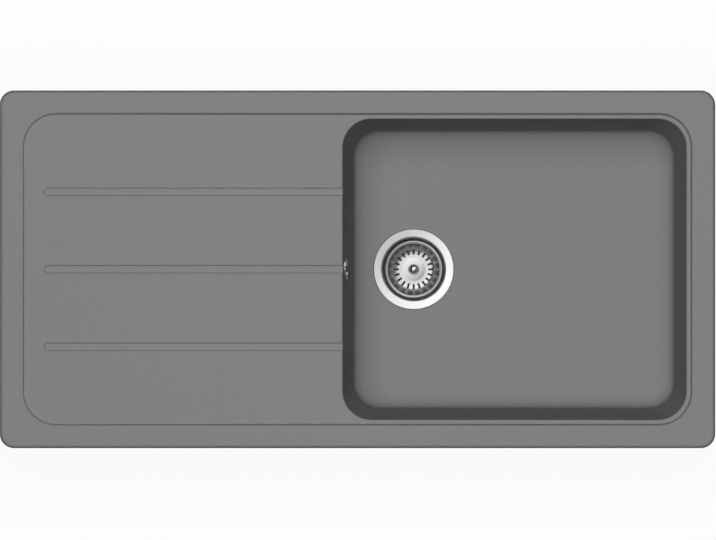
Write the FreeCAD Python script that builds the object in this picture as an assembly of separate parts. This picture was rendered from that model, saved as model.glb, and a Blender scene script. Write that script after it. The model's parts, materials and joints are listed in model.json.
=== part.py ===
import FreeCAD, Part
import math
import os

# An inset kitchen sink with a drainboard, moulded in stone-filled composite, with its basket-strainer
# waste, overflow and worktop clamps. Millimetres. The origin is the middle of the rim's outline, on the
# plane of the rim's underside, which is the worktop's surface. +X runs towards the bowl, +Y to the back
# of the worktop, +Z up.

Vector = FreeCAD.Vector

# ---- driving dimensions: frame and drainboard ----
sink_length = 1000.0
sink_width = 500.0
outer_corner_radius = 20.0
rim_height = 10.5
rim_draft = 12.0  # of the rim's outer side, in degrees from upright
rim_edge_round = 4.0
frame_width_ends = 32.6
frame_width_sides = 32.1
recess_corner_radius = 46.4
recess_draft = 10.0  # degrees from upright
recess_edge_round = 3.4
recess_foot_round = 2.6
board_depth_far = 6.5  # below the frame, at the end away from the bowl
board_depth_bowl = 9.5  # below the frame, all round the bowl
board_thickness = 8.0
board_level_strip = 20.0  # flat strip between the drainboard's slope and the bowl
board_bend_radius = 2000.0

# ---- driving dimensions: grooves ----
groove_count = 3
groove_pitch = 108.2
groove_width = 11.6  # across its edges, at the drainboard's face
groove_depth = 2.6
groove_draft = 25.0  # degrees from upright
groove_end_margin = 28.9  # from the recess's end to the groove's end
groove_edge_round = 0.8
groove_foot_round = 0.7

# ---- driving dimensions: bowl ----
ledge_width = 7.4  # from the recess's outline to the bowl's edge
bowl_length = 481.0
bowl_depth = 185.0  # from the ledge round it to the floor at the waste
bowl_corner_radius = 40.5
bowl_corner_radius_floor = 36.0
bowl_draft = 5.4  # degrees from upright
bowl_edge_round = 2.0
bowl_floor_round = 17.0
bowl_wall = 8.0
bowl_floor = 9.0
bowl_floor_fall = 0.7  # degrees, from the walls to the waste
shell_floor_round = 22.0

# ---- driving dimensions: underside ----
rim_lap = 10.0  # how far the rim laps over the worktop's edge
cutout_clearance = 6.0  # from the drop block to the edge of the worktop's cut-out
drop_corner_radius = 30.0
seal_width = 6.0
seal_thickness = 1.5
seal_edge_margin = 3.0  # from the rim's outline to the seal
seal_play = 0.1

# ---- driving dimensions: worktop clamps ----
boss_radius = 7.5
boss_inset = 0.5  # from the drop block's side to the boss
boss_bottom = -20.0
boss_hole_radius = 4.0
boss_hole_top = -2.0
long_side_clamp_count = 3
short_side_clamp_count = 1
clamp_board_margin = 140.0  # from the drainboard's end to the nearest clamp of a long side
clamp_bowl_margin = 100.0  # from the bowl's end to the nearest clamp of a long side
insert_play = 0.1
insert_head_radius = 6.5
insert_head_height = 1.5
insert_length = 16.5
clamp_screw_radius = 2.0
clamp_screw_play = 0.06  # all round, in the insert
clamp_travel = 12.0
clamp_stop_gap = 0.5  # left between the insert and an arm drawn right up
clamp_grip = 6.5  # thread held by the insert when the screw is let right down
clamp_head_radius = 4.2
clamp_head_height = 2.6
clamp_head_chamfer = 1.2
clamp_tip_chamfer = 0.5
clamp_head_gap = 0.3
drive_slot_width = 1.2
drive_slot_length = 5.0
drive_slot_depth = 1.5
arm_thickness = 2.0
arm_width = 16.0
arm_reach = 28.0
arm_step = 6.0  # how much lower the toe lies than the arm's base
arm_step_start = 13.0
arm_bend_radius = 1.0  # inside of each bend
arm_lip = 1.5  # upturned edge of the toe
arm_hole_play = 0.3

# ---- driving dimensions: strainer waste, heights counted from the floor at the waste ----
waste_from_bowl_left = 100.0  # from the bowl's left edge to the middle of the waste
waste_y = 0.0
floor_hole_radius = 45.0
floor_hole_chamfer = 1.2
flange_radius = 56.3
flange_fall = 0.7  # the flange's face falls towards its dish
flange_sheet = 1.2
flange_play = 0.6  # round the flange in the floor's recess
flange_gasket_thickness = 1.2
dish_mouth_radius = 46.6
dish_bend_radius = 3.0
dish_depth = 28.0
dish_draft = 3.4  # degrees from upright
dish_corner_radius = 4.0
seat_radius = 28.0
seat_fall = 3.0
seat_bottom_radius = 24.5
dish_port_inner_radius = 10.5
dish_port_outer_radius = 22.0
dish_port_count = 6
dish_spoke = 4.0
basket_rim_radius = 38.9
basket_rim_wire = 1.7
basket_rim_drop = 3.0  # from the floor down to the top of the basket's rim
basket_sheet = 1.0
basket_bend_radius = 16.0
basket_depth = 25.0
basket_step_radius = 16.5
basket_dome_height = 0.7
basket_seat_radius = 6.0  # flat round the post, for its collar
slot_count = 20
slot_width = 3.0
slot_inner_radius = 20.5
slot_outer_radius = 35.6
knob_radius = 7.6
knob_neck_radius = 3.6
knob_neck_height = 4.0
knob_neck_flare = 1.2
post_radius = 3.0
post_in_knob = 7.0
post_collar_radius = 5.0
post_collar_height = 1.2
post_bottom = -52.0
post_play = 0.05
post_ring_height = -45.0
post_ring_wire = 0.9
post_ring_radius = 3.3  # outside, in the hollow screw
stopper_play = 0.3
stopper_web = 2.0  # thickness over the screw's head
stopper_foot_gap = 1.0  # between the stopper's foot and the bottom of the seat
stopper_hollow_play = 1.0  # round the screw's head
screw_head_radius = 9.0
screw_head_height = 2.4
screw_head_chamfer = 0.8
screw_radius = 6.0
screw_tip_chamfer = 1.0
screw_bore_radius = 3.6
screw_bore_bottom = -57.0
screw_bottom = -62.0
waste_gasket_thickness = 3.0
cup_flange_radius = 57.0
cup_flange_thickness = 3.5
cup_inner_radius = 46.5
cup_wall = 3.0
cup_bottom = -46.0
cup_foot = -60.0
cup_foot_radius = 28.0
outlet_inner_radius = 20.0
outlet_collar_radius = 27.0
outlet_collar_height = 3.0
outlet_neck_radius = 22.9
outlet_thread_radius = 23.9
outlet_bottom = -92.0
outlet_thread_length = 20.0
thread_pitch = 2.31
thread_depth = 0.9
outlet_chamfer = 1.0
hub_radius = 13.0
hub_top = -38.0
hub_bottom = -60.0
hub_rib_count = 4
hub_rib = 3.0
brass_radius = 9.0
brass_play = 0.1
thread_play = 0.05

# ---- driving dimensions: overflow ----
overflow_drop = 34.0  # from the ledge down to the middle of the rosette
overflow_hole_radius = 11.5
rosette_radius = 15.5
rosette_sheet = 0.8
rosette_height = 3.2
rosette_bead_round = 1.7
rosette_dish_height = -0.4  # the dish lies a little inside the wall's hole
rosette_dish_lip = 0.4  # where the dish's side turns out to the bead
rosette_play = 0.3  # round the dish, in the wall's hole
rosette_notch_count = 4
rosette_notch_width = 8.6
rosette_notch_start = 9.0  # from the middle to the notch's foot
overflow_screw_radius = 2.5
overflow_screw_head = 4.0
overflow_screw_head_height = 1.9
overflow_screw_head_round = 1.4
overflow_screw_length = 24.0  # under its head
screw_end_gap = 1.0  # from a screw's tip to the end of its hole
overflow_gasket_thickness = 2.0
elbow_flange_radius = 17.0
elbow_flange_thickness = 3.0
elbow_radius = 13.5
elbow_wall = 2.0
gasket_inset = 0.5  # how far a gasket's edge lies inside the flange's that presses it
elbow_depth = 29.0  # from the bowl's face to the elbow's closed end
elbow_post_radius = 5.0
elbow_post_start = 9.5
pipe_stand_off = 23.0  # from the bowl's left edge to the middle of the pipe
pipe_radius = 10.0
pipe_wall = 1.5
pipe_bend_radius = 30.0
pipe_play = 0.3
pipe_insertion = 12.0
socket_wall = 2.4
socket_length = 15.0
elbow_socket_bottom = -66.0  # below the worktop's surface
spigot_height = -34.0
spigot_reach = 24.0
slip_nut_length = 16.0
slip_nut_wall = 2.6
slip_nut_flats = 8
slip_nut_collar = 2.4
cone_seal_thickness = 3.0
seal_gap = 0.05

# ---- places that follow from the driving dimensions ----
ledge_z = rim_height - board_depth_bowl
board_far_z = rim_height - board_depth_far
recess_end = sink_length / 2 - frame_width_ends
recess_side = sink_width / 2 - frame_width_sides
bowl_right = recess_end - ledge_width
bowl_left = bowl_right - bowl_length
bowl_half_width = recess_side - ledge_width
waste_x = bowl_left + waste_from_bowl_left
pipe_x = bowl_left - pipe_stand_off
slope_end = bowl_left - board_level_strip
board_slope = (board_far_z - ledge_z) / (slope_end + recess_end)
board_tilt = math.atan(board_slope)
floor_z = ledge_z - bowl_depth
wall_run = math.tan(math.radians(bowl_draft))
corner_run = (bowl_corner_radius - bowl_corner_radius_floor) / bowl_depth
drop_end = sink_length / 2 - rim_lap - cutout_clearance
drop_side = sink_width / 2 - rim_lap - cutout_clearance
waste_centre = Vector(waste_x, waste_y, floor_z)
flange_recess_depth = flange_gasket_thickness + flange_fall + flange_sheet
seat_bottom = -dish_depth - seat_fall
screw_head_top = seat_bottom + screw_head_height
basket_floor = -basket_depth
basket_wall_radius = basket_rim_radius - basket_rim_wire + basket_sheet / 2
bore_radius = clamp_screw_radius + clamp_screw_play
insert_foot = boss_bottom - insert_head_height
arm_top = insert_foot - clamp_stop_gap - clamp_travel
through = 5.0  # how far a cutting shape stands clear of what it cuts


def on_circle(centre, radius, degrees):
    """The point of a circle in a flat outline at an angle."""
    angle = math.radians(degrees)
    return centre[0] + radius * math.cos(angle), centre[1] + radius * math.sin(angle)


def bend(centre, radius, start, stop):
    """One arc of a flat outline, as its middle and its end."""
    return on_circle(centre, radius, (start + stop) / 2), on_circle(centre, radius, stop)


def flat_face(steps, place):
    """A face with a closed outline: each step is a point to run to, or an arc's middle and end.

    place turns the outline's two numbers into a point in space.
    """
    edges = []
    first = here = steps[0]
    for step in list(steps[1:]) + [first]:
        is_arc = isinstance(step[0], tuple)
        end = step[1] if is_arc else step
        if is_arc:
            edges.append(Part.Arc(place(here), place(step[0]), place(end)).toShape())
        elif place(here).distanceToPoint(place(end)) > 1e-6:
            edges.append(Part.LineSegment(place(here), place(end)).toShape())
        here = end
    return Part.Face(Part.Wire(edges))


def upright(point):
    """A (radius or X, height) pair as a point of the XZ plane."""
    return Vector(point[0], 0, point[1])


def across(point):
    """A (Y, height) pair as a point of the YZ plane."""
    return Vector(0, point[0], point[1])


def turned(steps, centre=Vector(0, 0, 0)):
    """A solid of revolution about a vertical axis, from (radius, height) steps."""
    solid = flat_face(steps, upright).revolve(Vector(0, 0, 0), Vector(0, 0, 1), 360)
    solid.translate(centre)
    return solid


def ring(inner, outer, low, high, centre=Vector(0, 0, 0)):
    """A flat ring or a tube standing upright."""
    return turned([(inner, low), (outer, low), (outer, high), (inner, high)], centre)


def rounded_outline(left, right, front, back, radius, z):
    """A level rectangle with round corners, as a closed wire."""
    inset = radius * (1 - math.sqrt(0.5))

    def point(x, y):
        return Vector(x, y, z)

    corners = [
        ((right - radius, front), (right - inset, front + inset), (right, front + radius)),
        ((right, back - radius), (right - inset, back - inset), (right - radius, back)),
        ((left + radius, back), (left + inset, back - inset), (left, back - radius)),
        ((left, front + radius), (left + inset, front + inset), (left + radius, front)),
    ]
    edges = []
    before = corners[-1][2]
    for start, middle, end in corners:
        edges.append(Part.LineSegment(point(*before), point(*start)).toShape())
        edges.append(Part.Arc(point(*start), point(*middle), point(*end)).toShape())
        before = end
    return Part.Wire(edges)


def rounded_block(half_length, half_width, radius, low, high):
    """An upright block with round corners, centred on the origin."""
    outline = rounded_outline(-half_length, half_length, -half_width, half_width, radius, low)
    return Part.Face(outline).extrude(Vector(0, 0, high - low))


def drafted_block(outline_at, low, high):
    """A block between the outlines that outline_at gives at two heights."""
    return Part.makeLoft([outline_at(high), outline_at(low)], True, True)


def is_level(face):
    """Whether a face lies more level than upright."""
    u0, u1, v0, v1 = face.ParameterRange
    return abs(face.normalAt((u0 + u1) / 2, (v0 + v1) / 2).z) > 0.7


def corner_edges(solid, low, high):
    """The edges between a level face and a wall that lie between two heights."""
    found = []
    for edge in solid.Edges:
        if edge.BoundBox.ZMin < low or edge.BoundBox.ZMax > high:
            continue
        faces = solid.ancestorsOfType(edge, Part.Face)
        if len(faces) == 2 and is_level(faces[0]) != is_level(faces[1]):
            found.append(edge)
    return found


def around(shape, centre, count, start=0.0):
    """Copies of a shape, turned evenly round a vertical axis."""
    copies = []
    for index in range(count):
        copy = shape.copy()
        copy.rotate(centre, Vector(0, 0, 1), start + 360.0 * index / count)
        copies.append(copy)
    return copies


def spokes(inner, outer, low, high, count, width, start=0.0):
    """The gaps between the spokes of a wheel: a ring less its spokes."""
    spoke = Part.makeBox(outer + 1, width, high - low, Vector(0, -width / 2, low))
    return ring(inner, outer, low, high).cut(around(spoke, Vector(0, 0, 0), count, start))


# ---- the moulded body ----


def rim_outline(z):
    """The rim's outline at a height, with the draft of its outer side."""
    inset = z * math.tan(math.radians(rim_draft))
    end, side = sink_length / 2 - inset, sink_width / 2 - inset
    return rounded_outline(-end, end, -side, side, outer_corner_radius - inset, z)


def recess_outline(z):
    """The recess's outline at a height, with the draft of its wall."""
    grow = (z - rim_height) * math.tan(math.radians(recess_draft))
    end, side = recess_end + grow, recess_side + grow
    return rounded_outline(-end, end, -side, side, recess_corner_radius + grow, z)


def board_prism(drop, top):
    """The space above the drainboard's slope and the level ledge, let down by a distance."""
    bend_reach = board_bend_radius * math.tan(board_tilt / 2)
    far = -sink_length
    slope_foot = slope_end - bend_reach * math.cos(board_tilt)
    face = flat_face(
        [
            (far, ledge_z - drop + (slope_end - far) * board_slope),
            (slope_foot, ledge_z - drop + bend_reach * math.sin(board_tilt)),
            bend(
                (slope_end + bend_reach, ledge_z - drop + board_bend_radius),
                board_bend_radius,
                270 - math.degrees(board_tilt),
                270,
            ),
            (sink_length, ledge_z - drop),
            (sink_length, top),
            (far, top),
        ],
        upright,
    )
    face.translate(Vector(0, -sink_width, 0))
    return face.extrude(Vector(0, 2 * sink_width, 0))


def recess_space():
    """What the recess takes out of the rim: drafted walls, a sloping board and a rounded foot."""
    block = drafted_block(recess_outline, ledge_z - through, rim_height + through)
    space = block.common(board_prism(0, rim_height + 4 * through))
    foot = min(recess_foot_round, 0.35 * board_depth_far)
    return space.makeFillet(foot, corner_edges(space, ledge_z - 1, board_far_z + 1))


def bowl_outline(z, offset=0.0):
    """The bowl's outline at a height, with the draft of its walls, grown by an offset."""
    inset = (ledge_z - z) * wall_run - offset
    radius = bowl_corner_radius - (ledge_z - z) * corner_run + offset
    side = bowl_half_width - inset
    return rounded_outline(bowl_left + inset, bowl_right - inset, -side, side, radius, z)


def bowl_space():
    """What the bowl takes out: drafted walls, and a floor that falls to the waste."""
    reach = sink_length
    fall = math.tan(math.radians(bowl_floor_fall))
    level_radius = floor_hole_radius
    block = drafted_block(bowl_outline, floor_z - through, ledge_z + through)
    floor = turned(
        [
            (0, 0),
            (level_radius, 0),
            (level_radius + reach, reach * fall),
            (level_radius + reach, 2 * bowl_depth),
            (0, 2 * bowl_depth),
        ],
        waste_centre,
    )
    space = block.common(floor)
    highest = floor_z + (bowl_right - waste_x + bowl_half_width) * fall
    return space.makeFillet(bowl_floor_round, corner_edges(space, floor_z - 1, highest))


def bowl_shell():
    """The outside of the bowl below the rim."""
    low = floor_z - bowl_floor
    shell = drafted_block(lambda z: bowl_outline(z, bowl_wall), low, rim_height / 2)
    return shell.makeFillet(shell_floor_round, corner_edges(shell, low - 1, low + 1))


def groove_space(y):
    """One groove of the drainboard: leaning walls, rounded edges, a round end, open to the bowl."""
    half = groove_width / 2
    edge = min(groove_edge_round, 0.5 * groove_depth)
    foot = min(groove_foot_round, 0.4 * groove_depth)
    lift = 0.02  # lets the rounded edge cross the board's face instead of touching it
    tangent = math.tan(math.radians((90 - groove_draft) / 2))  # of a round of radius 1, from its corner
    foot_start = half - groove_depth * math.tan(math.radians(groove_draft)) - foot * tangent
    edge_end = half + edge * tangent
    half_section = flat_face(
        [
            (0, -groove_depth),
            (foot_start, -groove_depth),
            bend((foot_start, foot - groove_depth), foot, 270, 360 - groove_draft),
            on_circle((edge_end, lift - edge), edge, 180 - groove_draft),
            bend((edge_end, lift - edge), edge, 180 - groove_draft, 90),
            (edge_end, through),
            (0, through),
        ],
        across,
    )
    end_x = -recess_end + groove_end_margin + half
    length = bowl_left + through - end_x
    run = half_section.extrude(Vector(length, 0, 0))
    end = half_section.revolve(Vector(0, 0, 0), Vector(0, 0, 1), 180)
    space = run.fuse([run.mirror(Vector(0, 0, 0), Vector(0, 1, 0)), end]).removeSplitter()
    tilt = FreeCAD.Rotation(Vector(0, 1, 0), math.degrees(board_tilt))
    board_z = ledge_z + (slope_end - end_x) * board_slope
    space.Placement = FreeCAD.Placement(Vector(end_x, y, board_z), tilt)
    return space


def floor_opening():
    """The hole for the waste, its chamfer and the recess of the flange."""
    recess = flange_radius + flange_play
    chamfered = -flange_recess_depth - floor_hole_chamfer
    return turned(
        [
            (0, -bowl_floor - through),
            (floor_hole_radius, -bowl_floor - through),
            (floor_hole_radius, chamfered),
            (floor_hole_radius + floor_hole_chamfer, -flange_recess_depth),
            (recess, -flange_recess_depth),
            (recess, through),
            (0, through),
        ],
        waste_centre,
    )


def overflow_place(shape):
    """Puts a shape on the bowl's left wall: its Z points into the bowl, its X down the wall."""
    height = ledge_z - overflow_drop
    point = Vector(bowl_left + overflow_drop * wall_run, waste_y, height)
    turn = FreeCAD.Rotation(Vector(0, 1, 0), 90 - bowl_draft)
    shape.Placement = FreeCAD.Placement(point, turn)
    return shape


def seal_ring(low, high, play):
    """The strip under the rim, less some play on each side."""
    outer = seal_edge_margin + play
    inner = seal_edge_margin + seal_width - play
    half_length, half_width = sink_length / 2, sink_width / 2

    def block(margin):
        return rounded_block(
            half_length - margin, half_width - margin, outer_corner_radius - margin, low, high
        )

    return block(outer).cut(block(inner))


def spread(low, high, count):
    """Evenly spaced places from low to high, or the middle of the two when there is one."""
    if count == 1:
        return [(low + high) / 2]
    return [low + (high - low) * index / (count - 1) for index in range(count)]


def clamp_stations():
    """Each clamp's name, X, Y and the way its stowed arm points, in degrees from +X."""
    side = drop_side - boss_inset - boss_radius
    end = drop_end - boss_inset - boss_radius
    first = clamp_board_margin - sink_length / 2
    last = sink_length / 2 - clamp_bowl_margin
    found = []
    for index, x in enumerate(spread(first, last, long_side_clamp_count), 1):
        found.append((f"back_{index}", x, side, 0))
        found.append((f"front_{index}", x, -side, 180))
    for index, y in enumerate(spread(-side / 2, side / 2, short_side_clamp_count), 1):
        found.append((f"right_{index}", end, y, 270))
        found.append((f"left_{index}", -end, y, 90))
    return found


def sink_body():
    """The moulded sink: rim, drainboard and bowl in one piece."""
    rim = drafted_block(rim_outline, 0, rim_height)
    rim = rim.makeFillet(rim_edge_round, corner_edges(rim, rim_height - 1, rim_height + 1))
    deepest = ledge_z - board_thickness
    drop = rounded_block(drop_end, drop_side, drop_corner_radius, deepest - through, rim_height / 2)
    drop = drop.common(board_prism(board_thickness, rim_height + through))
    added = [drop, bowl_shell()]
    holes = []
    for _, x, y, _ in clamp_stations():
        boss_height = rim_height / 2 - boss_bottom
        added.append(Part.makeCylinder(boss_radius, boss_height, Vector(x, y, boss_bottom)))
        hole_height = boss_hole_top - boss_bottom + through
        hole_base = Vector(x, y, boss_bottom - through)
        holes.append(Part.makeCylinder(boss_hole_radius, hole_height, hole_base))
    body = rim.fuse(added).removeSplitter()
    body = body.cut([recess_space(), bowl_space()])
    recess_edges = [
        edge
        for edge in corner_edges(body, rim_height - 0.01, rim_height + 0.01)
        if edge.BoundBox.XMax < recess_end + 1
        and edge.BoundBox.XMin > -recess_end - 1
        and abs(edge.CenterOfMass.y) < recess_side + 1
    ]
    body = body.makeFillet(min(recess_edge_round, 0.5 * board_depth_far), recess_edges)
    bowl_edges = [
        edge
        for edge in corner_edges(body, ledge_z - 0.01, ledge_z + 0.01)
        if edge.BoundBox.XMin > bowl_left - 1 and edge.BoundBox.XMax < bowl_right + 1
    ]
    body = body.makeFillet(bowl_edge_round, bowl_edges)
    first = -(groove_count - 1) / 2 * groove_pitch
    grooves = [groove_space(first + groove_pitch * index) for index in range(groove_count)]
    overflow_hole = Part.makeCylinder(overflow_hole_radius, 4 * through + bowl_wall)
    overflow_hole.translate(Vector(0, 0, -3 * through - bowl_wall))
    cuts = grooves + holes + [floor_opening(), overflow_place(Part.Compound([overflow_hole]))]
    cuts.append(seal_ring(-through, seal_thickness, 0))
    return body.cut(cuts)


# ---- the strainer waste ----


def strainer_flange():
    """The stainless dish: a flange that falls inwards, a drafted wall, a cone seat and six ports."""
    sheet = flange_sheet
    lean = math.tan(math.radians(dish_draft))
    wall_top = -flange_fall - dish_bend_radius
    wall_radius = dish_mouth_radius - dish_bend_radius
    wall_bottom = -dish_depth + dish_corner_radius
    foot_radius = wall_radius - (wall_top - wall_bottom) * lean
    mouth = (dish_mouth_radius, wall_top)
    corner = (foot_radius - dish_corner_radius, wall_bottom)
    edge = sheet / 2
    profile = [
        (flange_radius - edge, -sheet),
        bend((flange_radius - edge, -edge), edge, 270, 450),
        (dish_mouth_radius, -flange_fall),
        bend(mouth, dish_bend_radius, 90, 180),
        (foot_radius, wall_bottom),
        bend(corner, dish_corner_radius, 360, 270),
        (seat_radius, -dish_depth),
        (seat_bottom_radius, seat_bottom),
        (screw_radius + thread_play, seat_bottom),
        (screw_radius + thread_play, seat_bottom - sheet),
        (seat_bottom_radius + sheet / 2, seat_bottom - sheet),
        (seat_radius + sheet / 2, -dish_depth - sheet),
        (corner[0], -dish_depth - sheet),
        bend(corner, dish_corner_radius + sheet, 270, 360),
        (wall_radius + sheet, wall_top),
        bend(mouth, dish_bend_radius - sheet, 180, 90),
    ]
    dish = turned(profile)
    ports = spokes(
        dish_port_inner_radius,
        dish_port_outer_radius,
        seat_bottom - 2 * sheet,
        seat_bottom + sheet,
        dish_port_count,
        dish_spoke,
    )
    dish = dish.cut(ports)
    dish.translate(waste_centre)
    return dish


def basket():
    """The basket: a wire rim, a cup whose wall bends into its floor, twenty slots, a low dome."""
    outer = basket_wall_radius
    bend_centre = (outer - basket_bend_radius, basket_floor + basket_bend_radius)
    inner_bend = basket_bend_radius - basket_sheet
    rim_top = -basket_rim_drop
    rim_centre = rim_top - basket_rim_wire
    crown_run = basket_step_radius - basket_seat_radius
    crown_radius = (crown_run**2 + basket_dome_height**2) / (2 * basket_dome_height)
    crown_span = math.degrees(math.asin(crown_run / crown_radius))
    crown = basket_floor + basket_dome_height
    crown_centre = (basket_seat_radius, crown - crown_radius)
    post_hole = post_radius + post_play
    sheet = basket_sheet
    cup = turned(
        [
            (outer, rim_centre),
            (outer, bend_centre[1]),
            bend(bend_centre, basket_bend_radius, 360, 270),
            (basket_step_radius, basket_floor),
            bend(crown_centre, crown_radius, 90 - crown_span, 90),
            (post_hole, crown),
            (post_hole, crown + sheet),
            (basket_seat_radius, crown + sheet),
            bend((basket_seat_radius, crown_centre[1] + sheet), crown_radius, 90, 90 - crown_span),
            (bend_centre[0], basket_floor + sheet),
            bend(bend_centre, inner_bend, 270, 360),
            (outer - sheet, rim_centre),
        ]
    )
    slot_height = bend_centre[1] - basket_floor + 2 * sheet
    slot = Part.makeBox(
        slot_outer_radius - slot_inner_radius - slot_width / 2,
        slot_width,
        slot_height,
        Vector(slot_inner_radius + slot_width / 2, -slot_width / 2, basket_floor - sheet),
    )
    slot_end = Part.makeCylinder(
        slot_width / 2,
        slot_height,
        Vector(slot_inner_radius + slot_width / 2, 0, basket_floor - sheet),
    )
    cup = cup.cut(around(slot.fuse(slot_end), Vector(0, 0, 0), slot_count))
    rim = Part.makeTorus(basket_rim_radius, basket_rim_wire, Vector(0, 0, rim_centre))
    cup = cup.fuse(rim)
    cup.translate(waste_centre)
    return cup


def basket_seal():
    """The rubber stopper that closes the dish's seat, hollow over the screw's head."""
    top = basket_floor - post_play
    run = seat_radius - seat_bottom_radius
    lift = stopper_play * math.hypot(run, seat_fall) / run
    foot = seat_bottom + stopper_foot_gap
    foot_radius = seat_bottom_radius + (stopper_foot_gap - lift) * run / seat_fall
    hollow = screw_head_radius + stopper_hollow_play
    return turned(
        [
            (post_radius + post_play, top),
            (seat_radius, top),
            (seat_radius, -dish_depth + lift),
            (foot_radius, foot),
            (hollow, foot),
            (hollow, top - stopper_web),
            (post_radius + post_play, top - stopper_web),
        ],
        waste_centre,
    )


def basket_post():
    """The post through the basket: held in the knob, with a collar under the stopper."""
    top = basket_floor + basket_dome_height + basket_sheet + post_in_knob
    collar_top = basket_floor - stopper_web - 2 * post_play
    collar_foot = collar_top - post_collar_height
    groove = post_ring_radius - 2 * post_ring_wire
    half = post_ring_wire + post_play
    return turned(
        [
            (0, top),
            (post_radius, top),
            (post_radius, collar_top),
            (post_collar_radius, collar_top),
            (post_collar_radius, collar_foot),
            (post_radius, collar_foot),
            (post_radius, post_ring_height + half),
            (groove - post_play, post_ring_height + half),
            (groove - post_play, post_ring_height - half),
            (post_radius, post_ring_height - half),
            (post_radius, post_bottom + post_radius / 2),
            (post_radius / 2, post_bottom),
            (0, post_bottom),
        ],
        waste_centre,
    )


def post_ring():
    """The rubber ring that catches the post in the hollow screw."""
    centre = waste_centre + Vector(0, 0, post_ring_height)
    return Part.makeTorus(post_ring_radius - post_ring_wire, post_ring_wire, centre)


def basket_knob():
    """A ball on a short neck, bored for the post."""
    foot = basket_floor + basket_dome_height + basket_sheet + post_play
    ball_centre = foot + knob_neck_height + math.sqrt(knob_radius**2 - knob_neck_radius**2)
    meet = math.degrees(math.asin((foot + knob_neck_height - ball_centre) / knob_radius))
    hole = post_radius + post_play
    hole_top = foot + post_in_knob + post_play
    return turned(
        [
            (hole, foot),
            (knob_neck_radius + knob_neck_flare, foot),
            (knob_neck_radius, foot + knob_neck_flare),
            (knob_neck_radius, foot + knob_neck_height),
            bend((0, ball_centre), knob_radius, meet, 90),
            (0, hole_top),
            (hole, hole_top),
        ],
        waste_centre,
    )


def strainer_screw():
    """The hollow screw: its bore takes the post, its thread draws the waste body up."""
    chamfer = screw_head_chamfer
    return turned(
        [
            (screw_bore_radius, screw_head_top - chamfer),
            (screw_bore_radius + chamfer, screw_head_top),
            (screw_head_radius - chamfer, screw_head_top),
            (screw_head_radius, screw_head_top - chamfer),
            (screw_head_radius, seat_bottom),
            (screw_radius, seat_bottom),
            (screw_radius, screw_bottom + screw_tip_chamfer),
            (screw_radius - screw_tip_chamfer, screw_bottom),
            (0, screw_bottom),
            (0, screw_bore_bottom),
            (screw_bore_radius, screw_bore_bottom),
        ],
        waste_centre,
    )


def flange_gasket():
    """The ring under the flange, thinner inwards as the flange falls."""
    inner = max(floor_hole_radius + floor_hole_chamfer, dish_mouth_radius)
    outer = flange_radius - flange_sheet
    slope = flange_fall / (flange_radius - flange_sheet / 2 - dish_mouth_radius)
    low = -flange_recess_depth
    inner_top = -flange_sheet - flange_fall + (inner - dish_mouth_radius) * slope
    outer_top = -flange_sheet - flange_fall + (outer - dish_mouth_radius) * slope
    return turned(
        [(inner, low), (outer, low), (outer, outer_top), (inner, inner_top)], waste_centre
    )


def waste_gasket():
    """The thick ring between the sink's floor and the waste body."""
    low = -bowl_floor - waste_gasket_thickness
    outer = cup_flange_radius - gasket_inset
    return ring(cup_inner_radius, outer, low, -bowl_floor, waste_centre)


def waste_body():
    """The moulded cup: flange, cone with a flat foot, side spigot, and a ribbed hub for the brass."""
    top = -bowl_floor - waste_gasket_thickness
    flange_foot = top - cup_flange_thickness
    outer = cup_inner_radius + cup_wall
    outside = [
        (0, top),
        (cup_flange_radius, top),
        (cup_flange_radius, flange_foot),
        (outer, flange_foot),
        (outer, cup_bottom - cup_wall),
        (cup_foot_radius, cup_foot),
        (0, cup_foot),
    ]
    inside = [
        (0, top + through),
        (cup_inner_radius, top + through),
        (cup_inner_radius, cup_bottom),
        (outlet_inner_radius, cup_foot + cup_wall),
        (outlet_inner_radius, cup_foot - through),
        (0, cup_foot - through),
    ]
    spigot_end = -(outer + spigot_reach)
    outward = Vector(-1, 0, 0)
    start = Vector(-cup_inner_radius - cup_wall / 2, 0, spigot_height)
    socket_inner = pipe_radius + pipe_play
    reach = spigot_reach + cup_wall / 2
    spigot = Part.makeCylinder(socket_inner + socket_wall, reach, start, outward)
    bore_start = Vector(-cup_inner_radius + through, 0, spigot_height)
    bore = Part.makeCylinder(pipe_radius - pipe_wall, reach + 2 * through, bore_start, outward)
    socket_start = Vector(spigot_end + socket_length, 0, spigot_height)
    socket = Part.makeCylinder(socket_inner, socket_length + through, socket_start, outward)
    hub = ring(brass_radius + brass_play, hub_radius, hub_bottom, hub_top)
    rib_height = hub_top - hub_bottom
    rib = Part.makeBox(outer, hub_rib, rib_height, Vector(0, -hub_rib / 2, hub_bottom))
    ribs = around(rib, Vector(0, 0, 0), hub_rib_count, 45)
    hub_core = Part.makeCylinder(hub_radius - 1, 2 * rib_height, Vector(0, 0, hub_bottom - 1))
    web = ribs[0].fuse(ribs[1:]).cut(hub_core).common(turned(outside))
    hollow = turned(outside).fuse(spigot).cut([turned(inside), bore, socket])
    body = hollow.fuse([hub, web]).removeSplitter()
    body.translate(waste_centre)
    return body


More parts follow.
